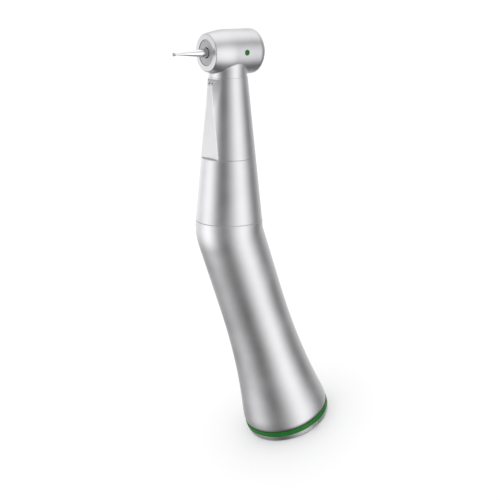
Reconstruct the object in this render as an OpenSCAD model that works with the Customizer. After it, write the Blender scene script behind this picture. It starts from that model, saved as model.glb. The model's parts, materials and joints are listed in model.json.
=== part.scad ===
// Contra angle handpiece, 5.4:1 speed reducing, with a push-button friction-grip chuck.
// Frame: +Z is the handle's axis, pointing from the motor socket towards the bend. The origin is
// the centre of the rear rim. The neck leans towards +X and the bur points towards -X.
// Gear train: a planetary stage (4.5:1), a 1:1 crown pair at the bend and a 1.2:1 bevel pair in the head.

/* [Handle] */
// Height of the bend above the rear rim, along the handle's axis
knee_z = 52.2; // [52.2:0.1:53]
// Angle between the handle and the neck
bend = 19.2; // [18.5:0.1:19.5]
// Radius of the rear colour ring, the widest part of the handle
tail_r = 10.3; // [10.3:0.05:10.5]
// Radius of the handle's waist
waist_r = 7.5; // [7.5:0.05:7.6]
// Thickness of the casing walls
wall = 0.85; // [0.8:0.01:0.85]
// Height at which the flare begins, measured from the rear rim
flare_top = 36; // [34:0.5:38]
// Distance from the bend to the seam between handle and neck sleeve
seam_low = 2.7; // [2.6:0.1:2.8]

/* [Neck] */
// Distance from the bend to the seam between neck sleeve and head
seam_high = 16.8; // [16.5:0.1:17]
// Distance from the bend to the head's axis
head_s = 39.6; // [39.6:0.1:40]
// Radius of the neck at the lower seam
neck_low_r = 7.42; // [7.4:0.01:7.45]
// Radius of the neck just under the head
neck_top_r = 4.2; // [4.2:0.01:4.3]

/* [Head] */
// Radius of the head's barrel
barrel_r = 4.85; // [4.85:0.01:5]
// Front face of the head, measured from the neck's axis
head_front = 5.6; // [5.6:0.05:5.7]
// Rear end of the barrel, measured from the neck's axis
head_rear = 6.6; // [6.6:0.05:6.8]
// Radius of the push button
button_r = 3.3; // [3.2:0.05:3.4]
// Travel of the push button
button_travel = 0.4; // [0.3:0.05:0.4]

/* [Motor socket] */
// Radius of the seat for the motor's collar
seat_r = 8; // [8:0.05:8.1]
// Depth of that seat
seat_depth = 3.5; // [3.5:0.1:3.6]
// Radius of the bore for the motor's spigot
socket_r = 6; // [5.9:0.05:6]
// Height at which that bore ends
socket_end = 21; // [20:0.1:21]

/* [Gears] */
// Module of the planetary stage
planet_module = 0.21; // [0.2:0.005:0.21]
// Teeth of the sun gear
sun_teeth = 12; // [12]
// Teeth of each planet gear
planet_teeth = 15; // [15]
// Teeth of the fixed ring gear
ring_teeth = 42; // [42]
// Teeth of each gear at the bend
knee_teeth = 16; // [16]
// Module of the gears at the bend
knee_module = 0.45; // [0.44:0.005:0.45]
// Teeth of the pinion on the neck shaft
pinion_teeth = 15; // [15]
// Teeth of the gear on the chuck spindle
chuck_teeth = 18; // [18]
// Module of the gears in the head
head_module = 0.306; // [0.3:0.001:0.308]
// Pressure angle of every gear
pressure = 25; // [22:0.5:25]

/* [Bur] */
// Radius of the bur's shank
shank_r = 0.8; // [0.79:0.01:0.8]
// Radius of the shoulder in front of the shank
bur_base_r = 1; // [0.95:0.01:1.02]
// Radius of the bur's cutting ball
ball_r = 0.42; // [0.4:0.01:0.5]
// Distance from the neck's axis to the tip of the bur
tip_x = 13.9; // [13.5:0.1:14]

/* [Hidden] */
$fn = 64;

// Colours
satin_steel = [0.74, 0.75, 0.77];
bright_steel = [0.86, 0.87, 0.88];
gear_steel = [0.62, 0.62, 0.63];
marking_green = [0.06, 0.42, 0.12];
spring_steel = [0.55, 0.56, 0.58];
seal_black = [0.08, 0.08, 0.08];
cage_brown = [0.55, 0.36, 0.16];
bronze = [0.72, 0.53, 0.28];

// Handle profile: a power curve from the waist to the flare, then a parabola into the colour ring.
flare_gain = 3.62;
flare_power = 2.2;
crown_z = 5.5;
ring_low = 1.4;
ring_high = 2.65;
inner_min_r = 6.62;
function flare_r(z) = waist_r + flare_gain * pow(max(0, 1 - z / flare_top), flare_power);
crown_r = flare_r(crown_z);
crown_slope = flare_gain * flare_power / flare_top * pow(1 - crown_z / flare_top, flare_power - 1);
function crown(t) = crown_r + crown_slope * t - crown_slope * t * t / (2 * (crown_z - ring_high));
function handle_r(z) = z > crown_z ? flare_r(z) : crown(crown_z - z);

// Elbow: a torus whose ends lie in the seam plane and in a plane the same distance below the bend.
elbow_R = seam_low / tan(bend / 2);
elbow_reach = elbow_R * tan(bend / 2);
elbow_low = knee_z - elbow_reach;

// Neck profile: one straight cone up to a short cylinder under the head.
neck_mid_r = 6.03;
neck_slope = (neck_low_r - neck_mid_r) / (seam_high - seam_low);
function neck_r(s) = max(neck_top_r, neck_low_r - neck_slope * (s - seam_low));

// Ball bearings of 3.175 x 6.35 x 2.38 mm
bearing_r = 3.175;
bearing_bore = 1.5875;
bearing_w = 2.38;
bearing_ball = 0.5;
bearing_balls = 8;
bearing_pitch = (bearing_r + bearing_bore) / 2;
ball_gap = 0.02;

// Where each bearing starts, along its own axis
front_head_at = 2.72;
rear_head_at = -5.5;
front_neck_at = 30.2;
rear_neck_at = 5;
input_at = 26.2;
carrier_at = 44.6;

// Planetary stage
planet_r = planet_module * planet_teeth / 2;
centre_r = planet_module * (sun_teeth + planet_teeth) / 2;
planets_at = 33;
planets_w = 3.6;
housing_r = 5.5;
ring_outer_r = 5;
tooth_lash = 0.035;

// Bevel pairs
knee_delta = 90 - bend / 2;
chuck_delta = atan(chuck_teeth / pinion_teeth);
pinion_delta = 90 - chuck_delta;
knee_face = 1.2;
head_face = 1.1;
chuck_R = head_module * chuck_teeth / 2 / sin(chuck_delta);
knee_R = knee_module * knee_teeth / 2 / sin(knee_delta);
addendum = 0.82;
dedendum = 1.15;

// Spray lines
tube_r = 0.35;
tube_side = 1.4;
tube_sides = 10;
tube_low_x = -5.95;
tube_high_x = -3.55;
tube_start = 21.3;
tube_end = 32.5;
tube_low = [[tube_low_x, tube_start], [tube_low_x, 42], [-5.85, 46], [-5.5, 49.5]];
tube_high = [[-5.1, 1.2], [-5.1, 8.2], [-4.75, 9.8], [-3.9, 12], [tube_high_x, 13.5], [tube_high_x, tube_end]];

// ---- Frames ----

// Local +Z runs along the neck, from the bend to the head.
module at_knee() { translate([0, 0, knee_z]) rotate([0, bend, 0]) children(); }

// Local +Z is the bur's axis, pointing out of the head; local +X points away from the neck.
module at_head() { at_knee() translate([0, 0, head_s]) rotate([0, -90, 0]) children(); }

module ring(r_out, r_in, h, z = 0) {
    translate([0, 0, z]) difference() {
        cylinder(r = r_out, h = h);
        translate([0, 0, -1]) cylinder(r = r_in, h = h + 2);
    }
}

module rod(r, h, z = 0) { translate([0, 0, z]) cylinder(r = r, h = h); }

module spin(outline) { rotate_extrude() polygon(outline); }

// ---- Gears ----

function involute(a) = tan(a) * 180 / PI - a;

// Half the angle that a tooth takes up at radius r, on a gear of z teeth and pitch radius rp
function half_tooth(r, z, rp, lash) =
    let (rb = rp * cos(pressure), a = r > rb ? acos(rb / r) : 0)
    90 / z - lash / 2 / rp * 180 / PI + involute(pressure) - involute(a);

flank_steps = 4;
function flank(z, rp, root, tip) =
    let (low = max(root, rp * cos(pressure)))
    concat([root], [for (i = [0 : flank_steps]) low + (tip - low) * i / flank_steps]);

function polar(r, a) = [r * cos(a), r * sin(a)];

function gear_outline(z, m, root, tip, lash) =
    let (rp = m * z / 2, radii = flank(z, rp, root, tip), n = len(radii))
    [for (k = [0 : z - 1], j = [0 : 2 * n - 1])
        let (up = j < n, r = up ? radii[j] : radii[2 * n - 1 - j], h = half_tooth(r, z, rp, lash))
        polar(r, k * 360 / z + (up ? -h : h))];

module spur_gear(z, m, bore, h) {
    rp = m * z / 2;
    difference() {
        linear_extrude(h) polygon(gear_outline(z, m, rp - dedendum * m, rp + addendum * m, tooth_lash));
        translate([0, 0, -1]) cylinder(r = bore, h = h + 2);
    }
}

// A ray from the cone's apex through the point of a tooth at offset h from the pitch cone
function bevel_ray(z, m, delta, R, h, side, lash) =
    let (rho = R * sin(delta) + h * cos(delta), axial = R * cos(delta) - h * sin(delta),
         virtual_r = m * z / 2 / cos(delta),
         a = side * half_tooth(virtual_r + h, z / cos(delta), virtual_r, lash) / cos(delta))
    [rho * cos(a), rho * sin(a), axial];

// Cuts a ray where it meets the plane across the tooth at distance R from the apex
function cut_ray(ray, delta, R) = ray * R / (ray * [sin(delta), 0, cos(delta)]);

bevel_steps = 3;
sunk = 0.12;

// One straight bevel tooth, with the cone's apex at the origin and the gear's back towards +Z
module bevel_tooth(z, m, delta, R, face) {
    low = -dedendum * m - sunk;
    offsets = [for (i = [0 : bevel_steps]) low + (addendum * m - low) * i / bevel_steps];
    n = 2 * len(offsets);
    rays = concat([for (h = offsets) bevel_ray(z, m, delta, R, h, -1, tooth_lash)],
                  [for (i = [bevel_steps : -1 : 0]) bevel_ray(z, m, delta, R, offsets[i], 1, tooth_lash)]);
    points = concat([for (r = rays) cut_ray(r, delta, R - face)], [for (r = rays) cut_ray(r, delta, R)]);
    sides = [for (i = [0 : n - 1]) [i, n + i, n + (i + 1) % n, (i + 1) % n]];
    near = [for (i = [0 : n - 1]) i];
    far = [for (i = [n - 1 : -1 : 0]) n + i];
    polyhedron(points, concat(sides, [near, far]));
}

// A bevel gear: a turned body under the root cone, and its teeth
module bevel_gear(z, m, delta, R, face, bore, back, back_r, phase) {
    root = dedendum * m;
    near = (R - face) / R;
    out_r = R * sin(delta) - root * cos(delta);
    out_z = R * cos(delta) + root * sin(delta);
    spin([[bore, out_z * near], [out_r * near, out_z * near], [out_r, out_z], [back_r, back], [bore, back]]);
    for (k = [0 : z - 1]) rotate([0, 0, phase + k * 360 / z]) bevel_tooth(z, m, delta, R, face);
}

// ---- Ball bearings: the first ring, the second ring, and the balls in their cage ----

module race_groove() { translate([bearing_pitch, bearing_w / 2]) circle(r = bearing_ball + ball_gap); }

module outer_race() {
    color(bright_steel) rotate_extrude() difference() {
        translate([bearing_pitch + 0.28, 0]) square([bearing_r - bearing_pitch - 0.28, bearing_w]);
        race_groove();
    }
}

module inner_race() {
    color(bright_steel) rotate_extrude() difference() {
        translate([bearing_bore, 0]) square([bearing_pitch - 0.28 - bearing_bore, bearing_w]);
        race_groove();
    }
}

module balls_and_cage() {
    pocket_r = bearing_ball + 0.04;
    cage_w = 1.7;
    color(cage_brown) difference() {
        ring(bearing_pitch + 0.18, bearing_pitch - 0.18, cage_w, (bearing_w - cage_w) / 2);
        for (k = [0 : bearing_balls - 1]) rotate([0, 0, k * 360 / bearing_balls])
            translate([bearing_pitch, 0, bearing_w / 2]) rotate([0, 90, 0])
                cylinder(r = pocket_r, h = 2, center = true);
    }
    color(bright_steel) for (k = [0 : bearing_balls - 1]) rotate([0, 0, k * 360 / bearing_balls])
        translate([bearing_pitch, 0, bearing_w / 2]) sphere(r = bearing_ball);
}

// ---- Tubes: one polyhedron swept along a route ----

function unit(v) = v / norm(v);

function knee_to_row(p, y) = [p[0] * cos(bend) + p[1] * sin(bend), y, knee_z - p[0] * sin(bend) + p[1] * cos(bend)];

function tube_route(side) = concat([for (p = tube_low) [p[0], side * tube_side, p[1]]],
                                   [for (p = tube_high) knee_to_row(p, side * tube_side)]);

module swept_tube(route, r, sides) {
    n = len(route);
    heading = [for (i = [0 : n - 1]) unit(route[min(i + 1, n - 1)] - route[max(i - 1, 0)])];
    rings = [for (i = [0 : n - 1], k = [0 : sides - 1])
        let (u = unit(cross([0, 1, 0], heading[i])), v = cross(heading[i], u), a = k * 360 / sides)
        route[i] + r * (cos(a) * u + sin(a) * v)];
    skin = [for (i = [0 : n - 2], k = [0 : sides - 1])
        let (a = i * sides + k, b = i * sides + (k + 1) % sides) [a, a + sides, b + sides, b]];
    start = [for (k = [0 : sides - 1]) k];
    end = [for (k = [sides - 1 : -1 : 0]) (n - 1) * sides + k];
    polyhedron(rings, concat(skin, [start, end]));
}

function helix(r, pitch, turns, steps) =
    [for (i = [0 : turns * steps]) [r * cos(i * 360 / steps), r * sin(i * 360 / steps), i * pitch / steps]];

module coil(r, wire, pitch, turns) {
    steps = 20;
    sides = 6;
    route = helix(r, pitch, turns, steps);
    n = len(route);
    rings = [for (i = [0 : n - 1], k = [0 : sides - 1])
        let (out = unit([route[i][0], route[i][1], 0]), a = k * 360 / sides)
        route[i] + wire * (cos(a) * out + sin(a) * [0, 0, 1])];
    skin = [for (i = [0 : n - 2], k = [0 : sides - 1])
        let (a = i * sides + k, b = i * sides + (k + 1) % sides) [a, b, b + sides, a + sides]];
    start = [for (k = [sides - 1 : -1 : 0]) k];
    end = [for (k = [0 : sides - 1]) (n - 1) * sides + k];
    polyhedron(rings, concat(skin, [start, end]));
}

// ---- Head: casing and what sits in it ----

// Outline of the barrel from the rear edge to the front edge: a round shoulder, a cylinder and an ogive
shoulder = 1.1;
ogive_start = 0.6;
front_r = 4.0;
function shoulder_points() = [for (i = [0 : 8]) let (a = i * 90 / 8)
    [barrel_r - 0.6 * (1 - sin(a)), -head_rear + shoulder * (1 - cos(a))]];
function ogive_points() = [for (i = [1 : 8]) let (t = i / 8)
    [barrel_r - (barrel_r - front_r) * pow(t, 1.8), ogive_start + (head_front - ogive_start) * t]];

cap_seat_r = 3.9;
gear_room_r = 3.7;
shield_r = 2.76;
shield_t = 0.2;
lip_z = 5.34;
facet_low = 5;
facet_slope = 0.015;
keel_from = 26.5;
keel_to = 34;
keel_w = 1.38;
marker_x = 1.75;
marker_r = 0.62;
neck_step = 34.3;

module barrel_solid() {
    spin(concat([[0, -head_rear]], shoulder_points(), ogive_points(), [[0, head_front]]));
}

// A flat cut down the bur side of the neck
module neck_facet() {
    translate([-facet_low, 0, seam_high]) rotate([0, atan(facet_slope), 0])
        translate([-3, -5, -0.1]) cube([3, 10, 15.4]);
}

// The spray port looks up and outwards, towards the tip of the bur
port = [-4.42, 0, 33.15];
port_tilt = 54;
port_spacing = 0.84;
plug_r = 0.5;
plug_depth = 0.9;
module at_port() { at_knee() translate(port) rotate([0, -port_tilt, 0]) children(); }

module port_face() { at_port() translate([-0.9, -1.9, 0]) cube([1.6, 3.8, 2]); }

// A low keel fills out the facet above the place where the cone gets too narrow for it
module neck_keel() {
    function front(s) = facet_low - facet_slope * (s - seam_high) + 0.15;
    function section(s) = let (r = neck_r(s) - 0.01, f = front(s), w = keel_w - 0.19,
        a = atan2(keel_w, f - 0.15) + acos(min(1, r / norm([f - 0.15, keel_w]))))
        [[-f, -w, s], [-f, w, s], [-r * cos(a), r * sin(a), s],
         [-1, 1, s], [-1, -1, s], [-r * cos(a), -r * sin(a), s]];
    n = 6;
    faces = concat([[for (i = [0 : n - 1]) i]], [[for (i = [n - 1 : -1 : 0]) n + i]],
        [for (i = [0 : n - 1]) let (j = (i + 1) % n) [i, n + i, n + j]],
        [for (i = [0 : n - 1]) let (j = (i + 1) % n) [i, n + j, j]]);
    polyhedron(concat(section(keel_from), section(keel_to)), faces);
}

module plug_outline() {
    for (y = [-0.5, 0.5]) translate([0, y]) circle(r = plug_r);
    square([2 * plug_r, 1], center = true);
}

module head_housing() {
    color(satin_steel) difference() {
        union() {
            at_head() barrel_solid();
            at_knee() spin([[0, 13], [5, 13], [5, seam_high], [neck_r(seam_high), seam_high],
                            [neck_r(neck_step), neck_step], [neck_top_r, neck_step + 0.05],
                            [neck_top_r, head_s], [0, head_s]]);
            at_knee() neck_keel();
        }
        at_head() {
            rod(cap_seat_r, 2, -head_rear - 1);
            rod(cap_seat_r, head_rear + rear_head_at + bearing_w, -head_rear);
            rod(gear_room_r, 6, -3.3);
            rod(bearing_r, lip_z - 2.5, 2.5);
            rod(shield_r + 0.03, 2, 5);
            translate([0, 0, -marker_x]) rotate([90, 0, 0]) rod(marker_r, 3, 4.25);
        }
        at_knee() {
            spin([[0, 12.9], [4.3, 12.9], [4.3, 22], [bearing_r, 26], [bearing_r, front_neck_at + bearing_w],
                  [2.9, front_neck_at + bearing_w], [2.9, 37.5], [0, 37.5]]);
            neck_facet();
            for (side = [-1, 1]) translate([tube_high_x, side * tube_side, 20]) rod(tube_r + 0.03, tube_end - 19.9);
        }
        port_face();
        at_port() translate([0, 0, -plug_depth]) linear_extrude(plug_depth + 0.1) plug_outline();
    }
}

module head_cap() {
    color(satin_steel) at_head() spin([
        [cap_seat_r, rear_head_at], [cap_seat_r, -head_rear], [4.25, -head_rear], [4.2, -6.8],
        [4.0, -6.96], [3.7, -7.05], [button_r + 0.08, -7.05], [button_r + 0.08, -5.98],
        [3.6, -5.98], [3.6, rear_head_at]]);
}

button_under = -6.75;

module push_button() {
    color(satin_steel) at_head() spin([
        [0, -8.7], [1, -8.63], [1.9, -8.4], [2.6, -8.05], [3.05, -7.65], [button_r, -7.25],
        [button_r, -5.95], [3.52, -5.95], [3.52, -5.92], [3.0, -5.92],
        [3.0, button_under], [0, button_under]]);
}

module button_spring() {
    color(spring_steel) at_head() translate([0, 0, -6.6]) coil(2.8, 0.12, 0.48, 2);
}

module front_shield() {
    color(gear_steel) at_head() {
        ring(shield_r, 1.15, shield_t, lip_z);
        ring(bearing_r, 1.95, lip_z - front_head_at - bearing_w - 0.02, front_head_at + bearing_w + 0.02);
    }
}

module head_marker() {
    color(marking_green) at_head() translate([0, 0, -marker_x]) rotate([90, 0, 0]) rod(marker_r, 0.58, 4.25);
}

module rear_bearing_holder() {
    color(bright_steel) at_head() ring(cap_seat_r, bearing_r, bearing_w, rear_head_at);
}

module spray_nozzle() {
    color(bright_steel) at_port() difference() {
        translate([0, 0, -plug_depth]) linear_extrude(plug_depth - 0.02) plug_outline();
        for (y = [-0.5, 0.5]) translate([0, y * port_spacing, -0.6]) cylinder(r = 0.16, h = 1);
    }
}

// ---- Head: chuck ----

spindle_front = 4.95;
collet_bore = shank_r + 0.02;
collet_r = 1.22;
collet_rear = -6.35;

module spindle() {
    color(gear_steel) at_head() difference() {
        spin([[0, rear_head_at], [bearing_bore, rear_head_at], [bearing_bore, spindle_front - 0.1],
              [bearing_bore - 0.1, spindle_front], [0, spindle_front]]);
        spin([[0, rear_head_at - 1], [collet_r + 0.02, rear_head_at - 1], [collet_r + 0.02, 3.6],
              [1.45, 4.6], [1.45, spindle_front + 1], [0, spindle_front + 1]]);
    }
}

module chuck_gear() {
    color(gear_steel) at_head() bevel_gear(chuck_teeth, head_module, chuck_delta, chuck_R, head_face,
                                           bearing_bore, front_head_at - 0.03, 2.55, 180 / chuck_teeth);
}

module collet() {
    slits = 4;
    slit_w = 0.22;
    color(bronze) at_head() difference() {
        spin([[collet_bore, collet_rear], [collet_r, collet_rear], [collet_r, 3.5], [1.38, 4.3], [collet_bore, 4.3]]);
        for (k = [0 : slits - 1]) rotate([0, 0, 45 + k * 360 / slits])
            translate([0.5, -slit_w / 2, -0.5]) cube([2, slit_w, 6]);
    }
}

module release_cap() {
    color(gear_steel) at_head() spin([
        [0, -6.55], [1.4, -6.55], [1.5, -6.45], [1.5, -6.15], [collet_r, -6.15],
        [collet_r, collet_rear], [0, collet_rear]]);
}

module collet_spring() {
    color(spring_steel) at_head() translate([0, 0, -6.04]) coil(1.36, 0.09, 0.22, 2);
}

module bur() {
    tip_z = tip_x - ball_r;
    color(bright_steel) at_head() {
        spin([[0, -5.85], [0.65, -5.85], [shank_r, -5.7], [shank_r, 4.7],
              [bur_base_r, 4.9], [bur_base_r, 5.6], [0.16, tip_z - ball_r + 0.1], [0.16, tip_z], [0, tip_z]]);
        translate([0, 0, tip_z]) sphere(r = ball_r);
    }
}

module front_head_outer_race() { at_head() translate([0, 0, front_head_at]) outer_race(); }
module front_head_inner_race() { at_head() translate([0, 0, front_head_at]) inner_race(); }
module front_head_balls() { at_head() translate([0, 0, front_head_at]) balls_and_cage(); }
module rear_head_outer_race() { at_head() translate([0, 0, rear_head_at]) outer_race(); }
module rear_head_inner_race() { at_head() translate([0, 0, rear_head_at]) inner_race(); }
module rear_head_balls() { at_head() translate([0, 0, rear_head_at]) balls_and_cage(); }

// ---- Neck ----

sleeve_in_r = 5.7;

module neck_sleeve() {
    color(satin_steel) at_knee() difference() {
        spin([[0, 1.3], [6.3, 1.3], [6.3, seam_low], [neck_low_r, seam_low], [neck_mid_r, seam_high], [0, seam_high]]);
        spin([[0, 1], [sleeve_in_r, 1], [sleeve_in_r, 9], [5.02, 12.8], [5.02, seam_high + 1], [0, seam_high + 1]]);
    }
}

module neck_bearing_holder() {
    color(bronze) at_knee() difference() {
        rod(sleeve_in_r - 0.02, 3, rear_neck_at - 0.3);
        rod(bearing_r, 6, rear_neck_at);
        rod(2.6, 6, rear_neck_at - 1);
        translate([-7, -2.2, rear_neck_at - 1]) cube([2.6, 4.4, 5]);
    }
}

module neck_shaft() {
    color(gear_steel) at_knee() spin([
        [0, 1.6], [1, 1.6], [1, 3.6], [bearing_bore + 0.3, 3.6], [bearing_bore + 0.3, rear_neck_at],
        [bearing_bore, rear_neck_at], [bearing_bore, 33.2], [1, 33.2], [1, 37.4], [0, 37.4]]);
}

module head_pinion() {
    color(gear_steel) at_knee() translate([0, 0, head_s]) mirror([0, 0, 1])
        bevel_gear(pinion_teeth, head_module, pinion_delta, chuck_R, head_face, 1, 6.35, 1.9, 180 / pinion_teeth);
}

module knee_output_gear() {
    color(gear_steel) at_knee()
        bevel_gear(knee_teeth, knee_module, knee_delta, knee_R, knee_face, 1, 2.8, 3.5, 180 / knee_teeth);
}

module front_neck_outer_race() { at_knee() translate([0, 0, front_neck_at]) outer_race(); }
module front_neck_inner_race() { at_knee() translate([0, 0, front_neck_at]) inner_race(); }
module front_neck_balls() { at_knee() translate([0, 0, front_neck_at]) balls_and_cage(); }
module rear_neck_outer_race() { at_knee() translate([0, 0, rear_neck_at]) outer_race(); }
module rear_neck_inner_race() { at_knee() translate([0, 0, rear_neck_at]) inner_race(); }
module rear_neck_balls() { at_knee() translate([0, 0, rear_neck_at]) balls_and_cage(); }

module water_tube() { color(bright_steel) swept_tube(tube_route(-1), tube_r, tube_sides); }
module air_tube() { color(bright_steel) swept_tube(tube_route(1), tube_r, tube_sides); }

// ---- Handle ----

handle_steps = 28;

module elbow_shell() {
    translate([elbow_R, 0, elbow_low]) rotate([90, 0, 180]) rotate_extrude(angle = bend)
        translate([elbow_R, 0]) difference() {
            circle(r = waist_r);
            circle(r = inner_min_r);
        }
}

// The bore runs parallel to the flare, then straight from here to the bend
bore_start = 17.5;

module handle_shell() {
    low = ring_high + 0.8;
    heights = [for (i = [0 : handle_steps]) low + (flare_top - low) * i / handle_steps];
    color(satin_steel) {
        difference() {
            spin(concat([[0, ring_high], [handle_r(ring_high) - 0.22, ring_high],
                         [handle_r(ring_high) - 0.1, ring_high + 0.3]],
                        [for (z = heights) [handle_r(z), z]], [[waist_r, elbow_low], [0, elbow_low]]));
            spin(concat([[0, ring_high - 1], [9.35, ring_high - 1], [9.35, 4.65]],
                        [for (z = [5 : 1 : bore_start]) [min(9.2, handle_r(z) - wall), z]],
                        [[inner_min_r, bore_start], [inner_min_r, elbow_low + 1], [0, elbow_low + 1]]));
        }
        elbow_shell();
    }
}

module colour_ring() { color(marking_green) ring(tail_r, 9.35, ring_high - ring_low, ring_low); }

module rear_collar() {
    notch_w = 2;
    notch_d = 1;
    notch_at = 274;
    color(satin_steel) difference() {
        spin([[seat_r, 0], [9.75, 0], [10.02, 0.3], [10.22, ring_low], [9.35, ring_low], [9.35, 4.6],
              [8.3, 4.6], [8.3, seat_depth], [seat_r, seat_depth]]);
        rotate([0, 0, notch_at]) translate([seat_r - 1, -notch_w / 2, -1]) cube([4, notch_w, 1 + notch_d]);
    }
}

clip_z = 8;
clip_wire = 0.35;
clip_ring_r = socket_r + clip_wire + 0.03;
sleeve_thick_r = 7.3;
sleeve_thin_r = 6.58;
sleeve_top = 25.8;
dog_room_r = 3.6;
seal_z = 18.7;
seal_wire = 0.19;

module coupling_sleeve() {
    color(bronze) difference() {
        spin([[0, seat_depth], [8.28, seat_depth], [8.28, 4.6], [sleeve_thick_r, 4.6], [sleeve_thick_r, 13.4],
              [sleeve_thin_r, 14.2], [sleeve_thin_r, sleeve_top], [0, sleeve_top]]);
        rod(socket_r, socket_end - seat_depth + 1, seat_depth - 1);
        rod(dog_room_r, 9, socket_end - 1);
        translate([0, 0, clip_z]) rotate_extrude() translate([clip_ring_r + 0.02, 0]) circle(r = clip_wire + 0.03);
        ring(sleeve_thin_r + 1, sleeve_thin_r - 2 * seal_wire - 0.02, 0.5, seal_z - 0.25);
        for (side = [-1, 1]) translate([tube_low_x, side * tube_side, 0]) rod(tube_r + 0.02, 9, socket_end - 1);
    }
}

module spring_clip() {
    gap = 24;
    color(spring_steel) rotate([0, 0, gap / 2]) translate([0, 0, clip_z])
        rotate_extrude(angle = 360 - gap) translate([clip_ring_r, 0]) circle(r = clip_wire);
}

module sleeve_o_ring() {
    color(seal_black) translate([0, 0, seal_z]) rotate_extrude()
        translate([sleeve_thin_r - seal_wire + 0.02, 0]) circle(r = seal_wire, $fn = 24);
}

dog_low = 21.3;
dog_r = 2.4;

module input_shaft() {
    color(gear_steel) difference() {
        spin([[0, dog_low], [dog_r - 0.3, dog_low], [dog_r, dog_low + 0.3], [dog_r, 25.4], [bearing_bore + 0.3, 25.4],
              [bearing_bore + 0.3, input_at], [bearing_bore, input_at], [bearing_bore, 31], [0.7, 31],
              [0.7, planets_at + planets_w], [0, planets_at + planets_w]]);
        translate([-3, -0.6, dog_low - 1]) cube([6, 1.2, 3]);
        rod(0.75, 2.6, dog_low - 1);
    }
}

module sun_gear() { color(gear_steel) translate([0, 0, planets_at]) spur_gear(sun_teeth, planet_module, 0.7, planets_w); }

module planet_gear(k) {
    color(bronze) rotate([0, 0, 120 * k]) translate([centre_r, 0, planets_at])
        spur_gear(planet_teeth, planet_module, 0.55, planets_w);
}
module planet_gear_1() { planet_gear(0); }
module planet_gear_2() { planet_gear(1); }
module planet_gear_3() { planet_gear(2); }

module ring_gear() {
    pitch_r = planet_module * ring_teeth / 2;
    color(gear_steel) translate([0, 0, planets_at - 0.6]) linear_extrude(planets_w + 1) difference() {
        circle(r = ring_outer_r);
        polygon(gear_outline(ring_teeth, planet_module, pitch_r - addendum * planet_module,
                             pitch_r + dedendum * planet_module, -tooth_lash));
    }
}

module planet_carrier() {
    plate_z = planets_at + planets_w + 0.2;
    color(gear_steel) difference() {
        spin([[0, plate_z], [4.1, plate_z], [4.1, plate_z + 1.5], [2, plate_z + 1.5], [2, carrier_at - 0.6],
              [bearing_bore, carrier_at], [bearing_bore, 49.2], [1, 49.2], [1, 51], [0, 51]]);
        for (k = [0 : 2]) rotate([0, 0, 120 * k]) translate([centre_r, 0, plate_z - 1]) cylinder(r = 0.5, h = 4);
    }
}

module planet_pins() {
    color(bright_steel) for (k = [0 : 2]) rotate([0, 0, 120 * k])
        translate([centre_r, 0, planets_at - 0.4]) cylinder(r = 0.5, h = planets_w + 2.1);
}

module knee_input_gear() {
    color(gear_steel) translate([0, 0, knee_z]) mirror([0, 0, 1])
        bevel_gear(knee_teeth, knee_module, knee_delta, knee_R, knee_face, 1, 2.9, 3.6, 0);
}

housing_top = 42;

module tube_notch() { translate([-8, -2.2, 0]) cube([3.2, 4.4, 60]); }

module gearbox_housing() {
    color(satin_steel) difference() {
        spin([[0, sleeve_top], [sleeve_thin_r, sleeve_top], [sleeve_thin_r, sleeve_top + 1.2],
              [housing_r, sleeve_top + 1.2], [housing_r, housing_top], [0, housing_top]]);
        rod(2.4, 3, sleeve_top - 1);
        rod(bearing_r, 5, input_at);
        rod(ring_outer_r, housing_top - 30, 31);
        for (side = [-1, 1]) translate([tube_low_x, side * tube_side, 0]) rod(tube_r + 0.02, 4, sleeve_top - 1);
    }
}

module support_ring() {
    color(bronze) difference() {
        spin([[0, housing_top], [sleeve_thin_r, housing_top], [sleeve_thin_r, housing_top + 2.2],
              [4.6, housing_top + 3], [4.6, carrier_at + bearing_w], [0, carrier_at + bearing_w]]);
        rod(2.4, 5, housing_top - 1);
        rod(bearing_r, 10, carrier_at);
        tube_notch();
    }
}

module input_outer_race() { translate([0, 0, input_at]) outer_race(); }
module input_inner_race() { translate([0, 0, input_at]) inner_race(); }
module input_balls() { translate([0, 0, input_at]) balls_and_cage(); }
module carrier_outer_race() { translate([0, 0, carrier_at]) outer_race(); }
module carrier_inner_race() { translate([0, 0, carrier_at]) inner_race(); }
module carrier_balls() { translate([0, 0, carrier_at]) balls_and_cage(); }

head_housing();
head_cap();
push_button();
button_spring();
front_shield();
head_marker();
neck_sleeve();
handle_shell();
colour_ring();
rear_collar();
coupling_sleeve();
spring_clip();
sleeve_o_ring();
spray_nozzle();
water_tube();
air_tube();
spindle();
chuck_gear();
collet();
release_cap();
collet_spring();
bur();
rear_bearing_holder();
front_head_outer_race();
front_head_inner_race();
front_head_balls();
rear_head_outer_race();
rear_head_inner_race();
rear_head_balls();
neck_shaft();
head_pinion();
knee_output_gear();
neck_bearing_holder();
front_neck_outer_race();
front_neck_inner_race();
front_neck_balls();
rear_neck_outer_race();
rear_neck_inner_race();
rear_neck_balls();
input_shaft();
sun_gear();
planet_gear_1();
planet_gear_2();
planet_gear_3();
ring_gear();
planet_carrier();
planet_pins();
knee_input_gear();
gearbox_housing();
support_ring();
input_outer_race();
input_inner_race();
input_balls();
carrier_outer_race();
carrier_inner_race();
carrier_balls();
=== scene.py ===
"""Looks of a contra angle dental handpiece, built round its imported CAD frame.

Lengths are in millimetres until a mesh is made.
"""

import json
import math

import bmesh
import bpy
import numpy as np
from mathutils import Matrix, Vector


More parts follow.
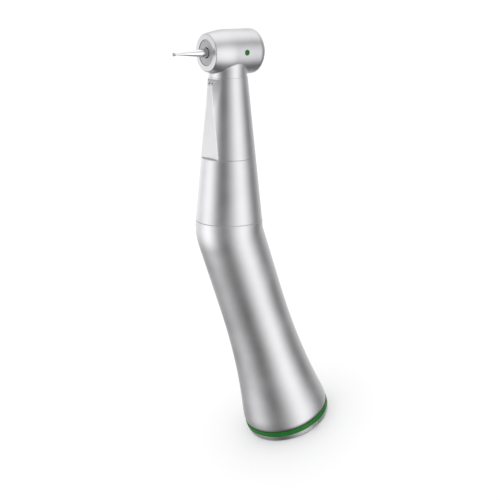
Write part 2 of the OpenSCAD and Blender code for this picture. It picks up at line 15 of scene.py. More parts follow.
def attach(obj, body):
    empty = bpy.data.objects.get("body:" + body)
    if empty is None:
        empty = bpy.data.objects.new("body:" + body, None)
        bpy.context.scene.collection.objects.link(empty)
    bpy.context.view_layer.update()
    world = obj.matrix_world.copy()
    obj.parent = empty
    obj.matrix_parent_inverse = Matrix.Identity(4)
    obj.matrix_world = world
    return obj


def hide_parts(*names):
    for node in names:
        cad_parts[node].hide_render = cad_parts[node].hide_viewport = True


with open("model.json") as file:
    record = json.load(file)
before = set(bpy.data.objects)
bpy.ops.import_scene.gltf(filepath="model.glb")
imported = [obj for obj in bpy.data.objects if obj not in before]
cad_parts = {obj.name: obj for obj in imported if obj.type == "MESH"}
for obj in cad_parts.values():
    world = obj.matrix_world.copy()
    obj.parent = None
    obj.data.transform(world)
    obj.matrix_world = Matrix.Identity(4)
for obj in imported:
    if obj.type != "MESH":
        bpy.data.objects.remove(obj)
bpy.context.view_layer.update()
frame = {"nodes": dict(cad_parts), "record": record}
nodes = frame["nodes"]

# ---- Dimensions, as in the CAD ----
MM = 0.001
BEND = math.radians(19.2)
KNEE_Z = 52.2
HEAD_S = 39.6
SEAM_LOW, SEAM_HIGH = 2.7, 16.8
WAIST_R, INNER_R = 7.5, 6.62
RING_LOW, RING_HIGH, RING_R = 1.4, 2.65, 10.3
NECK_LOW_R, NECK_MID_R, NECK_TOP_R = 7.42, 6.03, 4.2
BARREL_R, FRONT_R = 4.85, 4.0
HEAD_FRONT, HEAD_REAR = 5.6, 6.6
TIP_X, BALL_R, BUR_R = 13.9, 0.42, 1.0
LIP_Z = 5.34
PORT_AT, PORT_TILT, PORT_GAP = (-4.42, 0, 33.15), 54, 0.84
MARKER_X, MARKER_R = 1.75, 0.62
FACET_LOW, FACET_SLOPE, NECK_STEP, KEEL_W = 5.0, 0.015, 34.3, 1.38

KNEE = Matrix.Translation((0, 0, KNEE_Z)) @ Matrix.Rotation(BEND, 4, "Y")
HEAD = KNEE @ Matrix.Translation((0, 0, HEAD_S)) @ Matrix.Rotation(-math.pi / 2, 4, "Y")
HANDLE = Matrix.Identity(4)


# ---- Materials ----
class Nodes:
    """A small helper that builds one material's node tree."""

    def __init__(self, name, **sockets):
        self.mat = bpy.data.materials.new(name)
        self.mat.use_nodes = True
        self.tree = self.mat.node_tree
        self.bsdf = self.tree.nodes["Principled BSDF"]
        for key, value in sockets.items():
            self.bsdf.inputs[key.replace("_", " ")].default_value = value

    def add(self, kind, **settings):
        node = self.tree.nodes.new(kind)
        for key, value in settings.items():
            setattr(node, key, value)
        return node

    def link(self, a, b):
        self.tree.links.new(a, b)

    def coords(self, scale=(1, 1, 1)):
        tex = self.add("ShaderNodeTexCoord")
        mapping = self.add("ShaderNodeMapping")
        mapping.inputs["Scale"].default_value = scale
        self.link(tex.outputs["Object"], mapping.inputs["Vector"])
        return mapping.outputs["Vector"]

    def noise(self, vector, scale, detail=3.0, rough=0.55):
        n = self.add("ShaderNodeTexNoise")
        n.inputs["Scale"].default_value = scale
        n.inputs["Detail"].default_value = detail
        n.inputs["Roughness"].default_value = rough
        self.link(vector, n.inputs["Vector"])
        return n.outputs["Fac"]

    def span(self, value, low, high, from_low=0.3, from_high=0.7):
        m = self.add("ShaderNodeMapRange")
        m.inputs["From Min"].default_value = from_low
        m.inputs["From Max"].default_value = from_high
        m.inputs["To Min"].default_value = low
        m.inputs["To Max"].default_value = high
        self.link(value, m.inputs["Value"])
        return m.outputs["Result"]

    def ramp(self, value, *stops):
        r = self.add("ShaderNodeValToRGB")
        for i, (at, colour) in enumerate(stops):
            e = r.color_ramp.elements[i] if i < 2 else r.color_ramp.elements.new(at)
            e.position = at
            e.color = (*colour, 1)
        self.link(value, r.inputs["Fac"])
        return r.outputs["Color"]

    def bump(self, height, strength, distance):
        b = self.add("ShaderNodeBump")
        b.inputs["Strength"].default_value = strength
        b.inputs["Distance"].default_value = distance
        self.link(height, b.inputs["Height"])
        self.link(b.outputs["Normal"], self.bsdf.inputs["Normal"])

    def total(self, a, b, weight):
        m = self.add("ShaderNodeMath", operation="MULTIPLY_ADD")
        self.link(b, m.inputs[0])
        m.inputs[1].default_value = weight
        self.link(a, m.inputs[2])
        return m.outputs[0]


def metal(name, dark, light, rough, grain, depth, cloud=120, stretch=(1, 1, 1), strength=0.5):
    """A blasted or brushed metal: a fine grain in the surface, and slow changes in colour and gloss."""
    n = Nodes(name, Metallic=1.0)
    where = n.coords(stretch)
    fine = n.noise(where, grain, 2.0, 0.6)
    slow = n.noise(where, cloud, 4.0, 0.5)
    mixed = n.total(slow, fine, 0.35)
    n.link(n.ramp(mixed, (0.45, dark), (0.9, light)), n.bsdf.inputs["Base Color"])
    n.link(n.span(mixed, rough[0], rough[1], 0.45, 0.9), n.bsdf.inputs["Roughness"])
    n.bump(fine, strength, depth * MM)
    return n.mat


def grey(value, blue=1.02):
    return (value, value, value * blue)


satin = metal("satin_steel", grey(0.60), grey(0.72), (0.30, 0.40), 9000, 0.006)
polished = metal("polished_steel", grey(0.70), grey(0.80), (0.10, 0.18), 6000, 0.001, strength=0.3)
turned = metal("turned_steel", grey(0.50), grey(0.60), (0.22, 0.34), 5000, 0.004, stretch=(1, 1, 4))
blasted = metal("blasted_steel", grey(0.46), grey(0.66), (0.62, 0.78), 5200, 0.03, strength=1.0)
bronze = metal("bronze", (0.46, 0.30, 0.13), (0.62, 0.43, 0.2), (0.25, 0.4), 5000, 0.004)
wire = metal("spring_wire", grey(0.34), grey(0.44), (0.25, 0.35), 8000, 0.002)


def enamel(name, dark, light, rough, coat=0.3):
    n = Nodes(name, Metallic=0.0)
    n.bsdf.inputs["Coat Weight"].default_value = coat
    n.bsdf.inputs["Specular IOR Level"].default_value = 0.35
    n.bsdf.inputs["Coat Roughness"].default_value = 0.12
    where = n.coords()
    slow = n.noise(where, 500, 3.0)
    fine = n.noise(where, 7000, 2.0)
    n.link(n.ramp(slow, (0.3, dark), (0.75, light)), n.bsdf.inputs["Base Color"])
    n.link(n.span(fine, rough[0], rough[1]), n.bsdf.inputs["Roughness"])
    n.bump(fine, 0.3, 0.002 * MM)
    return n.mat


green = enamel("green_enamel", (0.002, 0.11, 0.006), (0.004, 0.16, 0.01), (0.42, 0.52), 0.08)
rubber = enamel("seal_rubber", (0.012, 0.012, 0.012), (0.03, 0.03, 0.03), (0.6, 0.75))


# ---- Mesh building ----
def rounded(points, steps=5, support=0.04):
    """An outline with its corners rounded. A point is (r, z) or (r, z, radius).

    Each arc gets a close line on both sides.
    """
    out = []
    n = len(points)
    for i in range(n):
        p = Vector(points[i][:2])
        radius = points[i][2] if len(points[i]) > 2 else 0
        a, b = Vector(points[i - 1][:2]) - p, Vector(points[(i + 1) % n][:2]) - p
        if not radius or a.length < 1e-6 or b.length < 1e-6:
            out.append(p)
            continue
        half = a.angle(b) / 2
        reach = min(radius / math.tan(half), 0.45 * a.length, 0.45 * b.length)
        radius = reach * math.tan(half)
        ua, ub = a.normalized(), b.normalized()
        centre = p + (ua + ub).normalized() * (radius / math.sin(half))
        start, end = p + ua * reach - centre, p + ub * reach - centre
        gap = min(support, 0.2 * (a.length - reach), 0.2 * (b.length - reach))
        out.append(p + ua * (reach + gap))
        total = start.angle_signed(end)
        for k in range(steps + 1):
            turn = -total * k / steps
            c, s = math.cos(turn), math.sin(turn)
            out.append(centre + Vector((c * start.x - s * start.y, s * start.x + c * start.y)))
        out.append(p + ub * (reach + gap))
    return out


def link_mesh(name, mesh, sharp=32):
    mesh.validate()
    for p in mesh.polygons:
        p.use_smooth = True
    mesh.set_sharp_from_angle(angle=math.radians(sharp))
    o = bpy.data.objects.new(name, mesh)
    bpy.context.scene.collection.objects.link(o)
    return o


def mesh_object(name, verts, faces, place=HANDLE, sharp=32):
    """An object from points in millimetres in a local frame.

    Coincident points are merged and normals face outwards.
    """
    bm = bmesh.new()
    made = [bm.verts.new((place @ Vector(v)) * MM) for v in verts]
    for f in faces:
        if len(set(f)) > 2:
            try:
                bm.faces.new([made[i] for i in f])
            except ValueError:
                continue
    bmesh.ops.remove_doubles(bm, verts=bm.verts, dist=2e-8)
    bmesh.ops.dissolve_degenerate(bm, edges=bm.edges, dist=1e-9)
    bmesh.ops.recalc_face_normals(bm, faces=bm.faces)
    mesh = bpy.data.meshes.new(name)
    bm.to_mesh(mesh)
    bm.free()
    return link_mesh(name, mesh, sharp)


def grid_faces(rows, cols, wrap_rows):
    faces = []
    for i in range(rows if wrap_rows else rows - 1):
        for j in range(cols):
            a, b = i * cols, (i + 1) % rows * cols
            faces.append((a + j, a + (j + 1) % cols, b + (j + 1) % cols, b + j))
    return faces


def turned_points(outline, cols):
    return [(r * math.cos(2 * math.pi * j / cols), r * math.sin(2 * math.pi * j / cols), z)
            for r, z in outline for j in range(cols)]


def turned_object(name, outline, place=HANDLE, cols=160, sharp=32):
    """A closed outline of (r, z) turned round the local Z axis."""
    outline = [tuple(p) for p in outline]
    return mesh_object(name, turned_points(outline, cols), grid_faces(len(outline), cols, True), place, sharp)


def box_object(name, low, high, place):
    verts = [(x, y, z) for x in (low[0], high[0]) for y in (low[1], high[1]) for z in (low[2], high[2])]
    faces = [(0, 1, 3, 2), (4, 6, 7, 5), (0, 4, 5, 1), (2, 3, 7, 6), (0, 2, 6, 4), (1, 5, 7, 3)]
    return mesh_object(name, verts, faces, place)


def combine(target, others, operation):
    """Joins or cuts target with each of the others, which are used up."""
    for other in others:
        mod = target.modifiers.new("b", "BOOLEAN")
        mod.operation = operation
        mod.solver = "EXACT"
        mod.object = other
        dg = bpy.context.evaluated_depsgraph_get()
        mesh = bpy.data.meshes.new_from_object(target.evaluated_get(dg))
        target.modifiers.remove(mod)
        old = target.data
        target.data = mesh
        bpy.data.meshes.remove(old)
        bpy.data.objects.remove(other)
    bm = bmesh.new()
    bm.from_mesh(target.data)
    bmesh.ops.remove_doubles(bm, verts=bm.verts, dist=1e-8)
    bmesh.ops.dissolve_degenerate(bm, edges=bm.edges, dist=1e-8)
    bm.to_mesh(target.data)
    bm.free()
    for p in target.data.polygons:
        p.use_smooth = True
    target.data.set_sharp_from_angle(angle=math.radians(25))
    return target


def dress(obj, material, body, slot, *replaced):
    obj.data.materials.clear()
    obj.data.materials.append(material)
    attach(obj, body)
    if replaced:
        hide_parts(*replaced)
    return obj


# ---- Handle: a turned flare, then a bend ----
FLARE_TOP, FLARE_GAIN, FLARE_POWER, CROWN_Z = 36.0, 3.62, 2.2, 5.5
CROWN_SLOPE = FLARE_GAIN * FLARE_POWER / FLARE_TOP * (1 - CROWN_Z / FLARE_TOP) ** (FLARE_POWER - 1)


def handle_r(z):
    if z > CROWN_Z:
        return WAIST_R + FLARE_GAIN * max(0.0, 1 - z / FLARE_TOP) ** FLARE_POWER
    t = CROWN_Z - z
    return handle_r(CROWN_Z + 1e-9) + CROWN_SLOPE * t - CROWN_SLOPE * t * t / (2 * (CROWN_Z - RING_HIGH))


ELBOW_R = 8.2
ELBOW_REACH = ELBOW_R * math.tan(BEND / 2)
ELBOW_LOW = KNEE_Z - ELBOW_REACH
ELBOW_ARC = ELBOW_R * BEND


def handle_place(z):
    """The frame of the cross-section at distance z along the handle's centre line."""
    a = min(BEND, max(0.0, (z - ELBOW_LOW) / ELBOW_R))
    moved = Matrix.Translation((ELBOW_R * (1 - math.cos(a)), 0, min(z, ELBOW_LOW) + ELBOW_R * math.sin(a)))
    bent = moved @ Matrix.Rotation(a, 4, "Y")
    return bent @ Matrix.Translation((0, 0, max(0.0, z - ELBOW_LOW - ELBOW_ARC)))


def handle_object():
    cols = 224
    end = ELBOW_LOW + ELBOW_ARC + SEAM_LOW - ELBOW_REACH
    fall, depth = 0.95, 0.24
    outer = [(handle_r(RING_HIGH) - depth - 0.08, RING_HIGH)]
    for t in (k / 14 for k in range(15)):
        z = RING_HIGH + fall * t
        outer.append((handle_r(z) - depth * (1 - t) ** 1.7, z))
    outer += [(handle_r(z), z) for z in np.linspace(RING_HIGH + fall + 0.15, FLARE_TOP, 96)]
    outer += [(WAIST_R, z) for z in np.linspace(FLARE_TOP + 0.5, ELBOW_LOW - 0.1, 24)]
    outer += [(WAIST_R, z) for z in np.linspace(ELBOW_LOW, ELBOW_LOW + ELBOW_ARC, 28)]
    outer += [(WAIST_R, z) for z in np.linspace(ELBOW_LOW + ELBOW_ARC + 0.1, end - 0.16, 5)]
    for a in (math.pi / 2 * k / 5 for k in range(6)):
        outer.append((WAIST_R - 0.1 * (1 - math.cos(a)), end - 0.1 * (1 - math.sin(a))))
    inner = [(INNER_R, z) for z in np.linspace(end, ELBOW_LOW, 12)] + [(INNER_R, 17.5)]
    inner += [(min(9.2, handle_r(z) - 0.85), z) for z in np.linspace(17.4, 5, 24)]
    inner += [(9.35, 4.65), (9.35, RING_HIGH)]
    verts = []
    for r, z in outer + inner:
        place = handle_place(z)
        verts += [place @ Vector(point) for point in turned_points([(r, 0)], cols)]
    return mesh_object("handle", verts, grid_faces(len(outer) + len(inner), cols, True))


dress(handle_object(), satin, "casing", "satin_metal", "handle_shell")

ring_outline = rounded([(9.36, RING_LOW + 0.02), (RING_R - 0.02, RING_LOW + 0.02, 0.1),
                        (RING_R - 0.02, RING_HIGH - 0.02, 0.1), (9.36, RING_HIGH - 0.02)])
dress(turned_object("colour_band", ring_outline, cols=224), green, "casing", "green_marking", "colour_ring")

NOTCH_AT, NOTCH_W, NOTCH_D = math.radians(274), 2.0, 1.0
collar_outline = rounded([(8.0, 0.0, 0.15), (9.75, 0.0, 0.12), (10.02, 0.3, 0.3), (10.22, RING_LOW, 0.05),
                          (9.35, RING_LOW), (9.35, 4.6), (8.3, 4.6), (8.3, 3.5), (8.0, 3.5)])
collar = turned_object("rear_rim", collar_outline, cols=224)
notch_place = Matrix.Rotation(NOTCH_AT, 4, "Z")
notch = box_object("notch", (7.0, -NOTCH_W / 2, -1), (11.5, NOTCH_W / 2, NOTCH_D), notch_place)
dress(combine(collar, [notch], "DIFFERENCE"), satin, "casing", "satin_metal", "rear_collar")

# ---- Neck sleeve ----
sleeve_outline = rounded([(6.3, 1.3, 0.1), (6.3, SEAM_LOW), (NECK_LOW_R, SEAM_LOW, 0.1),
                          (NECK_MID_R, SEAM_HIGH, 0.1), (5.02, SEAM_HIGH), (5.02, 12.8), (5.7, 9.0),
                          (5.7, 1.3)])
dress(turned_object("sleeve", sleeve_outline, KNEE, 224), satin, "casing", "satin_metal", "neck_sleeve")


# ---- Head and neck: one forging ----
NECK_SLOPE = (NECK_LOW_R - NECK_MID_R) / (SEAM_HIGH - SEAM_LOW)


def neck_r(s):
    return max(NECK_TOP_R, NECK_LOW_R - NECK_SLOPE * (s - SEAM_LOW))


def barrel_r(x):
    """Radius of the barrel at a distance x towards the bur."""
    if x > 0.6:
        return BARREL_R - (BARREL_R - FRONT_R) * ((x - 0.6) / (HEAD_FRONT - 0.6)) ** 1.8
    if x > -HEAD_REAR + 1.1:
        return BARREL_R
    t = min(1.0, (-HEAD_REAR + 1.1 - x) / 1.1)
    return BARREL_R - 0.6 * (1 - math.sqrt(max(0.0, 1 - t * t)))


def front_x(z):
    return FACET_LOW - FACET_SLOPE * (z - SEAM_HIGH)


def keel_section(z, cols):
    """Round on the far side, with a flat towards the bur.

    Where the cone is too slim for the flat, hollow flanks carry it.
    """
    r, p = neck_r(z), front_x(z)
    half = math.sqrt(max(0.0, r * r - p * p)) if r > p else 0.0
    grow = KEEL_W - KEEL_TAPER * max(0.0, z - KEEL_FROM) if z < KEEL_END else 0.0
    plain_cut = half >= grow
    if plain_cut:
        corner = join = math.atan2(half, p)
    else:
        corner = math.atan2(grow, p)
        reach = math.hypot(p, grow)
        join = corner + math.acos(min(1.0, r / reach)) + KEEL_HOLLOW * min(1.0, (reach - r) / 0.3)
        u0, v0, u1, v1 = p, grow, r * math.cos(join), r * math.sin(join)
        um = u1 + math.sin(join) * 0.5 * (reach - r + 0.6)
        vm = v1 - math.cos(join) * 0.5 * (reach - r + 0.6)
    out = []
    for j in range(cols):
        turn = 2 * math.pi * j / cols
        a, side = abs((turn + math.pi) % (2 * math.pi) - math.pi), math.copysign(1, math.sin(turn))
        if a < corner:
            u, v = p, p * math.tan(a)
        elif a < join:
            t = (a - corner) / (join - corner)
            u = (1 - t) ** 2 * u0 + 2 * t * (1 - t) * um + t * t * u1
            v = (1 - t) ** 2 * v0 + 2 * t * (1 - t) * vm + t * t * v1
        else:
            u, v = r * math.cos(a), r * math.sin(a)
        out.append((u, v * side))
    return out


KEEL_END, KEEL_HOLLOW = 34.0, 0.12
KEEL_FROM, KEEL_TAPER = 25.5, 0.085


def neck_solid():
    """The outside of the neck, with a small flare where it runs into the barrel."""
    cols, flare = 288, 0.22
    stations = [*np.linspace(SEAM_HIGH + 0.15, 26, 40), *np.linspace(26.2, NECK_STEP - 0.31, 48)]
    sections = [(z, keel_section(z, cols)) for z in stations]
    columns = []
    for j in range(cols):
        a = 2 * math.pi * j / cols
        c, s = math.cos(a), math.sin(a)
        path = [(0.0, 0.0, 13.0), (4.95 * c, 4.95 * s, 13.0), (5.0 * c, 5.0 * s, 13.05)]
        path.append((5.0 * c, 5.0 * s, SEAM_HIGH))
        u, v = sections[0][1][j]
        for k in range(5):
            b = math.pi / 2 * k / 4
            shrink = 1 - 0.1 * (1 - math.sin(b)) / math.hypot(u, v)
            path.append((u * shrink, v * shrink, SEAM_HIGH + 0.1 * (1 - math.cos(b))))
        path += [(sec[j][0], sec[j][1], z) for z, sec in sections]
        r = neck_r(NECK_STEP)
        path += [(r * c, r * s, z) for z in (NECK_STEP - 0.3, NECK_STEP - 0.1, NECK_STEP - 0.02)]
        path.append(((r - 0.03) * c, (r - 0.03) * s, NECK_STEP))
        path.append((NECK_TOP_R * c, NECK_TOP_R * s, NECK_STEP + 0.03))
        meet = HEAD_S - math.sqrt(barrel_r(NECK_TOP_R * c) ** 2 - (NECK_TOP_R * s) ** 2)
        out_r = NECK_TOP_R + flare
        top = HEAD_S - math.sqrt(max(0.05, barrel_r(out_r * c) ** 2 - (out_r * s) ** 2)) + 0.06
        low = max(NECK_STEP + 0.06, meet - flare)
        for t in (0.1, 0.4, 0.7, 1.0):
            path.append((NECK_TOP_R * c, NECK_TOP_R * s, NECK_STEP + 0.05 + (low - NECK_STEP - 0.05) * t))
        for k in range(1, 6):
            t = k / 5
            q = NECK_TOP_R + t * t * flare
            path.append((q * c, q * s, (1 - t) ** 2 * low + 2 * t * (1 - t) * meet + t * t * top))
        path.append(((out_r - 0.25) * c, (out_r - 0.25) * s, top + 0.35))
        path += [(2.0 * c, 2.0 * s, HEAD_S - 1.0), (0.0, 0.0, HEAD_S - 1.0)]
        columns.append([(-u, v, z) for u, v, z in path])
    rows = len(columns[0])
    verts = [columns[j][i] for i in range(rows) for j in range(cols)]
    return mesh_object("head_casing", verts, grid_faces(rows, cols, False), KNEE)


def barrel_solid():
    edge = 0.22
    outline = [(0.0, -HEAD_REAR), (4.18, -HEAD_REAR)]
    for a in (math.pi / 2 * k / 16 for k in range(17)):
        x = -HEAD_REAR + 1.1 * (1 - math.cos(a))
        outline.append((barrel_r(x), x))
    outline += [(BARREL_R, z) for z in np.linspace(-5.1, 0.55, 30)]
    outline += [(barrel_r(z), z) for z in np.linspace(0.6, HEAD_FRONT - edge * 1.3, 48)]
    rim = barrel_r(HEAD_FRONT - edge)
    for k in range(7):
        a = math.pi / 2 * k / 6
        outline.append((rim - edge * (1 - math.cos(a)) - 0.06 * k / 6, HEAD_FRONT - edge * (1 - math.sin(a))))
    outline += [(rim - edge - 0.12, HEAD_FRONT), (0.0, HEAD_FRONT)]
    return turned_object("barrel", outline, HEAD, 256)


def turned_cut(name, points, place):
    return turned_object(name, points, place, 128)


def head_object():
    casing = combine(neck_solid(), [barrel_solid()], "UNION")
    cuts = [
        turned_cut("room", [(0, -7), (3.9, -7), (3.9, -3.12), (3.7, -3.12), (3.7, 2.7), (3.175, 2.7),
                            (3.175, LIP_Z), (2.79, LIP_Z), (2.79, 6), (0, 6)], HEAD),
        turned_cut("bore", [(0, 12.9), (4.3, 12.9), (4.3, 22), (3.175, 26), (3.175, 32.58), (2.9, 32.58),
                            (2.9, 37.5), (0, 37.5)], KNEE),
        box_object("face", (-0.9, -1.9, 0), (0.7, 1.9, 2), PORT),
        slot_object("pocket", 0.4, 0.34, -0.9, 0.1, PORT),
    ]
    cuts.append(turned_cut("dot_seat", [(0, 4.25), (MARKER_R, 4.25), (MARKER_R, 6), (0, 6)], DOT))
    return combine(casing, cuts, "DIFFERENCE")


def slot_object(name, r, half, low, high, place, holes=(), cols=40, edge=0.0):
    """A prism with an oblong outline, lying along local Y."""
    turns = [2 * math.pi * (k + 0.5) / cols for k in range(cols)]
    path = [(r * math.cos(a), r * math.sin(a) + (half if math.sin(a) >= 0 else -half)) for a in turns]
    rows = [(1.0, low), (1.0, high - edge), (1.0 - edge / r, high)] if edge else [(1.0, low), (1.0, high)]
    verts = [(x * k, y * k, z) for k, z in rows for x, y in path]
    faces = grid_faces(len(rows), cols, False)
    faces.append(tuple(range(cols))[::-1])
    faces.append(tuple(range((len(rows) - 1) * cols, len(rows) * cols)))
    return mesh_object(name, verts, faces, place)


PORT = KNEE @ Matrix.Translation(PORT_AT) @ Matrix.Rotation(-math.radians(PORT_TILT), 4, "Y")
DOT = HEAD @ Matrix.Translation((0, 0, -MARKER_X)) @ Matrix.Rotation(math.pi / 2, 4, "X")
dress(head_object(), satin, "casing", "satin_metal", "head_housing")

plug = slot_object("spray_plug", 0.39, 0.34, -0.9, -0.01, PORT, edge=0.04)
jet = [(0, -0.85), (0.2, -0.85), (0.2, -0.05), (0.24, 0.0), (0.24, 0.3), (0, 0.3)]
holes = [turned_cut(f"jet{i}", jet, PORT @ Matrix.Translation((0, y, 0)))
         for i, y in enumerate((-PORT_GAP / 2, PORT_GAP / 2))]
dress(combine(plug, holes, "DIFFERENCE"), polished, "casing", "polished_steel", "spray_nozzle")

cap_outline = rounded([(3.9, -5.5), (3.9, -6.6), (4.24, -6.6), (4.18, -6.82, 0.1), (3.95, -6.98, 0.1),
                       (3.7, -7.05, 0.05), (3.4, -7.05, 0.08), (3.38, -5.98), (3.6, -5.98), (3.6, -5.5)])
dress(turned_object("rear_cap", cap_outline, HEAD, 192), satin, "casing", "satin_metal", "head_cap")

dome = [(0.0, -8.7)] + [(r, -8.7 + 1.05 * (r / 3.1) ** 2.4) for r in np.linspace(0.3, 2.95, 26)]
button_skirt = rounded([(3.16, -7.5, 0.2), (3.3, -7.2, 0.2), (3.3, -5.95), (3.5, -5.95), (3.5, -5.92),
                        (3.0, -5.92), (3.0, -6.75)])
button_outline = dome + button_skirt + [(0.0, -6.75)]
dress(turned_object("button", button_outline, HEAD, 192), satin, "push_button", "satin_metal", "push_button")

shield_outline = rounded([(1.15, LIP_Z), (1.15, 5.5, 0.04), (2.74, 5.5, 0.05), (2.74, LIP_Z)])
dress(turned_object("front_disc", shield_outline, HEAD, 192), blasted, "casing", "gear_steel", "front_shield")

dot_outline = [(0.0, 4.26), (0.61, 4.26), (0.61, 4.78), (0.57, 4.81)]
dot_outline += [(r, 4.835 - 0.03 * (r / 0.6) ** 2) for r in (0.5, 0.4, 0.3, 0.2, 0.1, 0.0)]
dress(turned_object("dot", dot_outline, DOT, 64), green, "casing", "green_marking", "head_marker")


# ---- Bur: a ground shank, a slim neck and a fluted ball ----
def bur_object():
    cols = 96
    blades, twist = 8, 1.1
    tip = TIP_X - BALL_R
    path = [(0.0, -5.85), (0.6, -5.85), (0.72, -5.8), (0.8, -5.7), (0.8, -5.6), (0.8, 4.65), (0.8, 4.7),
            (0.98, 4.88), (BUR_R, 4.93), (BUR_R, 5.3), (BUR_R, 5.5)]
    cone_end = tip - BALL_R + 0.12
    for t in (k / 24 for k in range(1, 25)):
        path.append((BUR_R + (0.17 - BUR_R) * t ** 0.92, 5.5 + (cone_end - 5.5) * t))
    verts = turned_points(path, cols)
    rows = len(path)
    start = math.acos((cone_end - tip) / BALL_R)
    for i in range(1, 25):
        a = start + (0.0 - start) * i / 24
        r, z = BALL_R * math.sin(a), tip + BALL_R * math.cos(a)
        deep = 0.3 * math.sin(a) ** 0.6 * min(1.0, (start - a) * 3)
        for j in range(cols):
            b = 2 * math.pi * j / cols
            phase = (b * blades / (2 * math.pi) + twist * (a - 1.57)) % 1.0
            cut = 1 - deep * (1 - phase) ** 1.5 if phase > 0.12 else 1 - deep * phase / 0.12 * 0.9
            verts.append((r * cut * math.cos(b), r * cut * math.sin(b), z))
        rows += 1
    return mesh_object("bur_tool", verts, grid_faces(rows, cols, False), HEAD, 40)


dress(bur_object(), polished, "bur", "polished_steel", "bur")

# ---- Materials of the CAD nodes that stay ----
FINISH = {
    "satin_metal": satin, "green_marking": green, "polished_steel": polished, "gear_steel": turned,
    "bronze": bronze, "spring_steel": wire, "seal_rubber": rubber, "ball_cage": polished,
}
for part in frame["record"]["subparts"]:
    o = nodes[part["node"]]
    if not o.hide_render:
        o.data.materials.clear()
        o.data.materials.append(FINISH[part["material_slot"]])

# ---- Floor, light and camera ----
def plain(name, colour, rough=0.6):
    n = Nodes(name, Roughness=rough)
    where = n.coords()
    darker = tuple(c * 0.985 for c in colour)
    n.link(n.ramp(n.noise(where, 30), (0.3, darker), (0.7, colour)), n.bsdf.inputs["Base Color"])
    return n.mat


FLOOR_HALF, FLOOR_Z = 4000, -0.02
floor_corners = [(x * FLOOR_HALF, y * FLOOR_HALF, FLOOR_Z) for x, y in ((-1, -1), (1, -1), (1, 1), (-1, 1))]
floor = mesh_object("floor", floor_corners, [(0, 1, 2, 3)])
floor.data.materials.append(plain("floor", (0.94, 0.94, 0.94)))
floor.visible_glossy = False

world = bpy.data.worlds.new("studio")
bpy.context.scene.world = world
world.use_nodes = True
world.node_tree.nodes["Background"].inputs["Color"].default_value = (1, 1, 1, 1)
bpy.context.scene.view_settings.view_transform = "Standard"


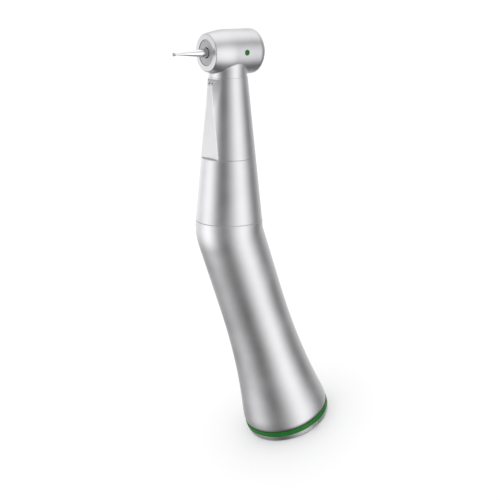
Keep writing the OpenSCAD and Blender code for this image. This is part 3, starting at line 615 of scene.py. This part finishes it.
def studio(tree):
    """Soft cards round the object, seen in the metal only. All other light is even and white."""
    def add(kind, **settings):
        node = tree.nodes.new(kind)
        for key, value in settings.items():
            setattr(node, key, value)
        return node

    def ramp(value, stops):
        r = add("ShaderNodeValToRGB")
        r.color_ramp.interpolation = "CARDINAL"
        for i, (at, level) in enumerate(stops):
            e = r.color_ramp.elements[i] if i < 2 else r.color_ramp.elements.new(at)
            e.position = at
            e.color = (level / CARD_PEAK,) * 3 + (1,)
        tree.links.new(value, r.inputs["Fac"])
        return r.outputs["Color"]

    def maths(operation, *values, clamp=False):
        m = add("ShaderNodeMath", operation=operation, use_clamp=clamp)
        for socket, value in zip(m.inputs, values):
            if isinstance(value, (int, float)):
                socket.default_value = value
            else:
                tree.links.new(value, socket)
        return m.outputs[0]

    where = add("ShaderNodeTexCoord").outputs["Generated"]
    turn = add("ShaderNodeVectorRotate", rotation_type="Z_AXIS")
    turn.inputs["Angle"].default_value = math.radians(-CARD_TURN)
    tree.links.new(where, turn.inputs["Vector"])
    round_axis = add("ShaderNodeTexGradient", gradient_type="RADIAL")
    tree.links.new(turn.outputs["Vector"], round_axis.inputs["Vector"])
    split = add("ShaderNodeSeparateXYZ")
    tree.links.new(where, split.inputs["Vector"])
    low, high = (ramp(round_axis.outputs["Fac"], [((a + 180) / 360, level) for a, level in row])
                 for row in (CARDS_LOW, CARDS_HIGH))
    rise = add("ShaderNodeMapRange", interpolation_type="SMOOTHSTEP")
    tree.links.new(split.outputs["Z"], rise.inputs["Value"])
    rise.inputs["From Min"].default_value, rise.inputs["From Max"].default_value = CARD_RISE
    sides = add("ShaderNodeMix", data_type="RGBA")
    tree.links.new(rise.outputs["Result"], sides.inputs["Factor"])
    tree.links.new(low, sides.inputs[6])
    tree.links.new(high, sides.inputs[7])
    sides = sides.outputs[2]
    height = maths("MULTIPLY_ADD", split.outputs["Z"], 0.5, 0.5)
    levels = ramp(height, [((math.sin(math.radians(a)) + 1) / 2, level) for a, level in CARD_HEIGHTS])
    spread = add("ShaderNodeVectorMath", operation="DOT_PRODUCT")
    tree.links.new(where, spread.inputs[0])
    spread.inputs[1].default_value = CARD_TOP
    top = add("ShaderNodeMapRange", interpolation_type="SMOOTHSTEP")
    tree.links.new(spread.outputs["Value"], top.inputs["Value"])
    top.inputs["From Min"].default_value = 0.35
    top.inputs["To Max"].default_value = 1.35
    body = maths("MULTIPLY", maths("MULTIPLY", sides, levels), CARD_PEAK * CARD_PEAK)
    cards = maths("MAXIMUM", body, top.outputs["Result"])
    path = add("ShaderNodeLightPath")
    mix = add("ShaderNodeMix")
    tree.links.new(path.outputs["Is Glossy Ray"], mix.inputs["Factor"])
    mix.inputs["A"].default_value = ROOM_LIGHT
    tree.links.new(cards, mix.inputs["B"])
    tree.links.new(mix.outputs["Result"], tree.nodes["Background"].inputs["Strength"])


# Where the cards stand, with their brightness: degrees round the object from the front, and degrees up
# from the horizon
CARD_PEAK = 2.0
CARD_TURN = 240.0
CARDS_LOW = [(-180, 1.0), (-150, 0.58), (-125, 0.4), (-85, 0.55), (-62, 0.4), (-42, 0.22),
             (-22, 0.2), (-4, 0.6), (16, 1.2),
             (38, 1.55), (56, 1.25), (80, 0.5), (98, 0.24), (115, 0.4), (140, 0.8), (180, 1.0)]
CARDS_HIGH = [(-180, 1.0), (-155, 1.35), (-118, 1.05), (-86, 1.8), (-66, 1.4), (-46, 0.5),
              (-22, 0.24), (-4, 0.5), (18, 1.1),
              (40, 1.5), (60, 1.2), (82, 0.6), (98, 0.3), (115, 0.5), (140, 0.8), (180, 1.0)]
CARD_RISE = (-0.45, -0.12)
CARD_HEIGHTS = [(-90, 0.15), (-65, 0.35), (-48, 0.75), (-28, 1.0), (5, 1.0), (22, 0.75), (45, 0.5),
                (90, 0.45)]
CARD_TOP = Vector((math.cos(math.radians(15)) * 0.5, math.sin(math.radians(15)) * 0.5, 0.866))
ROOM_LIGHT = 1.16
studio(world.node_tree)

data = bpy.data.cameras.new("camera")
camera = bpy.data.objects.new("camera", data)
bpy.context.scene.collection.objects.link(camera)
bpy.context.scene.camera = camera
data.sensor_width = 36
data.lens = 73.385
data.shift_x, data.shift_y = -0.0110, -0.0121
data.clip_start, data.clip_end = 0.01, 20
right = Vector((0.76518754, -0.58533375, -0.26809036))
up = Vector((0.45873983, 0.20353971, 0.86494471))
back = Vector((-0.4517143, -0.78482863, 0.42426196))
facing = Matrix((right, up, back)).transposed().to_4x4()
camera.matrix_world = Matrix.Translation(Vector((-100.358, -183.934, 145.236)) * MM) @ facing
